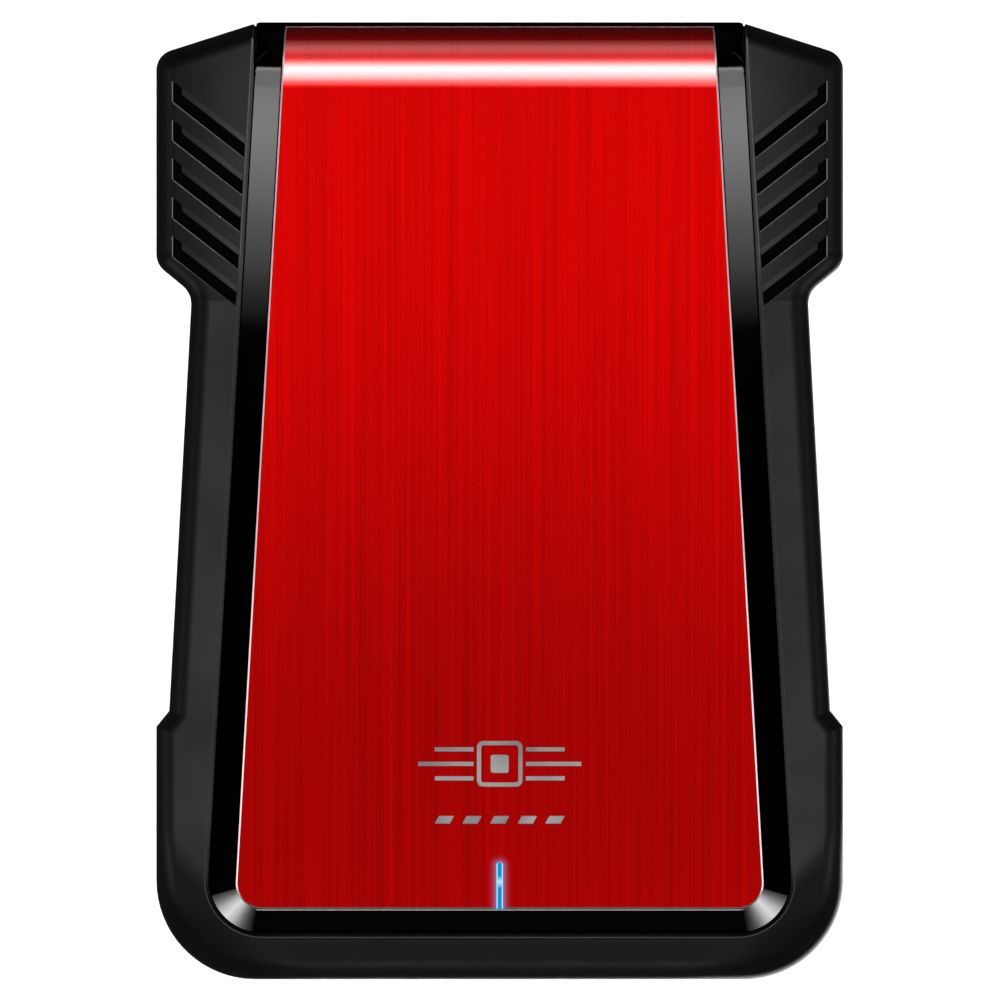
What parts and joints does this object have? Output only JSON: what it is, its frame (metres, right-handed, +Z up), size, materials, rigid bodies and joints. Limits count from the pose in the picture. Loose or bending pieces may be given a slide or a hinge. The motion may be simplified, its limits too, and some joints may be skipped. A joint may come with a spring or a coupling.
{
  "type": "external solid state drive",
  "caption": "Portable drive enclosure with finned wings, a bevelled slide-off cover with a rolled red face and lit slot, a slide lock, and a plug-in 2.5-inch drive inside.",
  "frame": {"origin": "middle of the footprint, on the surface the rubber feet stand on", "axes": "+Z up out of the red face, +Y towards the narrow rolled end, -Y towards the port"},
  "size_m": [0.0996, 0.139, 0.0246],
  "materials": {
    "matte_black": "fine textured",
    "gloss_black": "piano gloss",
    "red_anodised": "brushed along the length, anodised",
    "silver_mark": "printed satin",
    "lamp_blue": "clear, lit",
    "dark_screw": "black zinc",
    "black_rubber": "matt",
    "label_sheet": "satin film",
    "grey_foam": "open foam",
    "green_board": "solder mask",
    "steel": "bright",
    "blue_plastic": "moulded",
    "gold_contact": "plated",
    "connector_black": "moulded",
    "chip_epoxy": "moulded epoxy",
    "ferrite_grey": "sintered",
    "capacitor_tan": "fired",
    "lock_grey": "moulded",
    "drive_metal": "bead blasted",
    "thermal_blue": "soft pad"
  },
  "bodies": {
    "base": {"lower_shell": "matte_black", "upper_frame": "matte_black", "shell_screws": "dark_screw", "rubber_feet": "black_rubber", "blank_label": "label_sheet", "drive_pads": "grey_foam", "bridge_board": "green_board", "board_screws": "steel", "usb_shell": "steel", "usb_tongue": "blue_plastic", "usb_contacts": "gold_contact", "sata_socket": "connector_black", "sata_socket_contacts": "gold_contact", "bridge_chip": "chip_epoxy", "firmware_chip": "chip_epoxy", "clock_crystal": "steel", "power_inductor": "ferrite_grey", "board_capacitors": "capacitor_tan", "activity_led": "lamp_blue"},
    "cover": {"cover_shell": "gloss_black", "face_plate": "red_anodised", "light_pipe": "lamp_blue", "emblem": "silver_mark", "cover_foam": "grey_foam"},
    "lock": {"lock_knob": "lock_grey", "lock_latch": "lock_grey", "lock_screw": "steel"},
    "drive": {"drive_case_bottom": "drive_metal", "drive_case_top": "drive_metal", "drive_label": "label_sheet", "drive_case_screws": "steel", "drive_plug": "connector_black", "drive_contacts": "gold_contact", "drive_board": "green_board", "drive_controller": "chip_epoxy", "drive_memory": "chip_epoxy", "drive_flash": "chip_epoxy", "drive_capacitors": "capacitor_tan", "drive_thermal_pad": "thermal_blue"}
  },
  "joints": [
    {"name": "cover_slide", "type": "slide", "parent": "base", "child": "cover", "axis": [0, 1, 0], "range_m": [0, 0.13]},
    {"name": "lock_slide", "type": "slide", "parent": "base", "child": "lock", "axis": [-1, 0, 0], "range_m": [0, 0.005]},
    {"name": "drive_unplug", "type": "slide", "parent": "base", "child": "drive", "axis": [0, 1, 0], "range_m": [0, 0.006]}
  ]
}
